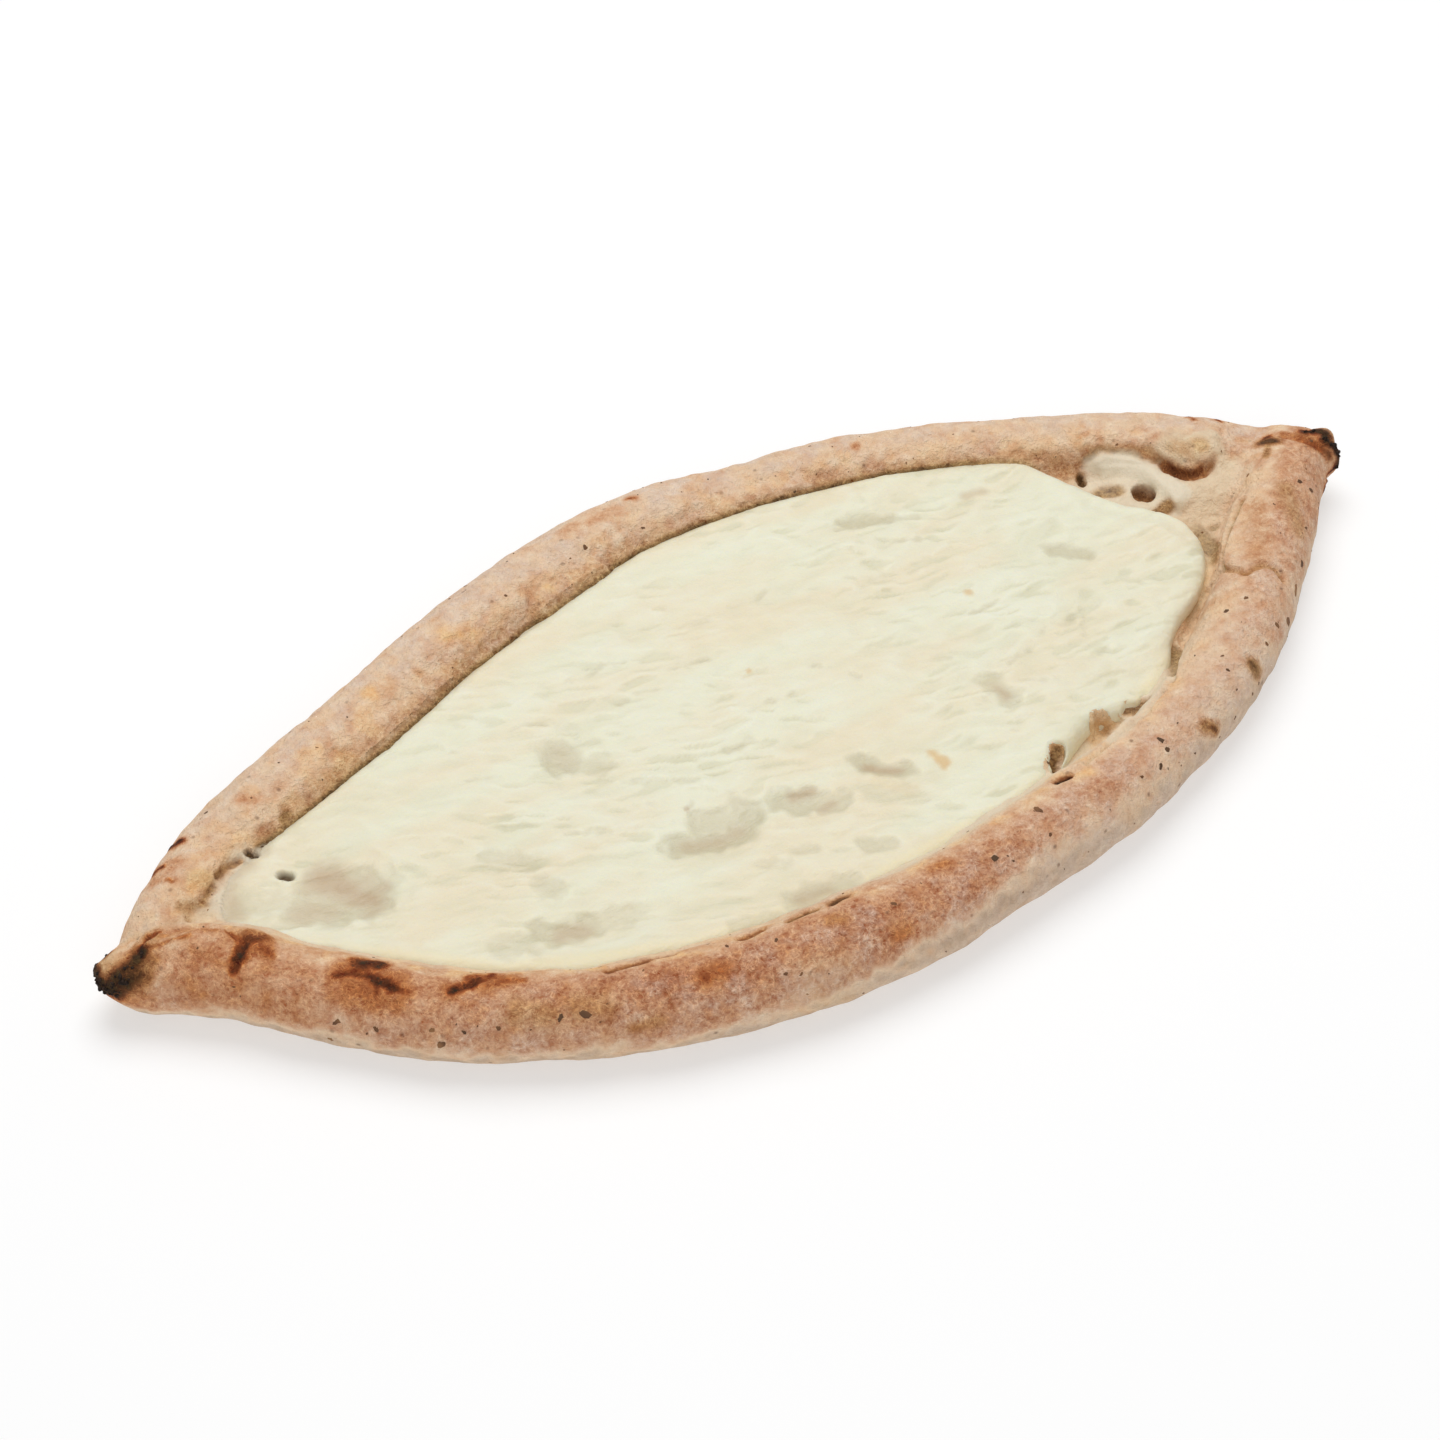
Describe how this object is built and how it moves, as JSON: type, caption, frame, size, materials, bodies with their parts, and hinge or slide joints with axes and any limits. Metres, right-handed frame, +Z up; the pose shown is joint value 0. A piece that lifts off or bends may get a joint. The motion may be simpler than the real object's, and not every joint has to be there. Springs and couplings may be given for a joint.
{
  "type": "akkawi cheese sfiha",
  "caption": "Boat-shaped open flatbread: a rolled bran-dough rim pinched to a point at both ends, around a shallow bed of melted white cheese.",
  "frame": {"origin": "middle of the object's box, on the tray that it lies on", "axes": "+X along the boat from its charred nose to its squared end, +Y across it from the near roll to the far roll, +Z up"},
  "size_m": [0.297, 0.1418, 0.0191],
  "materials": {
    "baked_dough": "matte floury baked dough, pinkish tan with browned patches",
    "melted_cheese": "soft satin of set melted cheese, pale cream"
  },
  "bodies": {
    "root": {"dough_boat": "baked_dough", "akkawi_cheese": "melted_cheese"}
  },
  "joints": []
}
